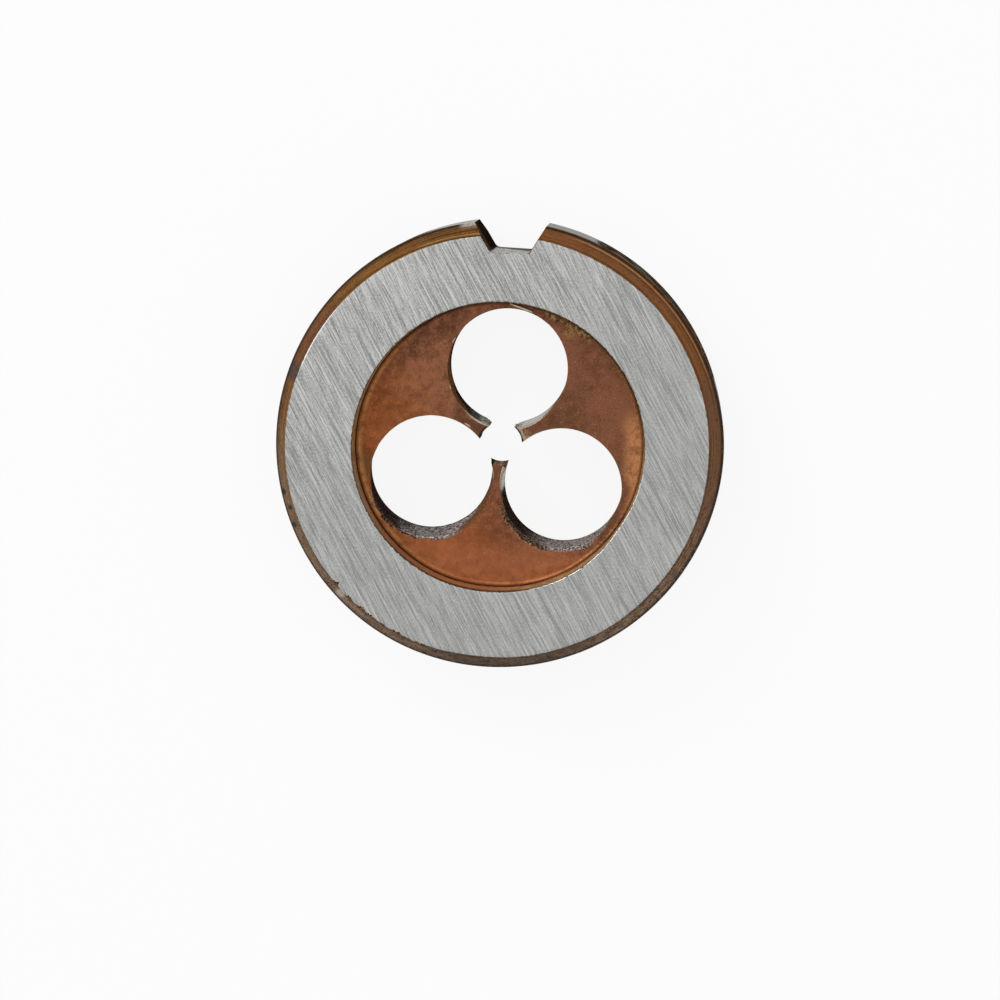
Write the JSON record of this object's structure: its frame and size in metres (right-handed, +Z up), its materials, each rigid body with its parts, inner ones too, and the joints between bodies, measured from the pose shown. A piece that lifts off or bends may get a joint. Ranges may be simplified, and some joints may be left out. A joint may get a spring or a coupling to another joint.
{
  "type": "round threading die",
  "caption": "Hardened steel disc that cuts an outside thread on a rod: recessed faces, chip holes round a threaded bore, bevelled rim and a locating notch.",
  "frame": {"origin": "centre of the back face, on the thread's axis", "axes": "+Z up the thread's axis to the front face, +Y out through the locating notch"},
  "size_m": [0.016, 0.0159, 0.005],
  "materials": {
    "die_steel": "ground on the faces and rim, with brown temper scale in the recesses and chip holes and on the bevels"
  },
  "bodies": {
    "root": {"die_body": "die_steel"}
  },
  "joints": []
}
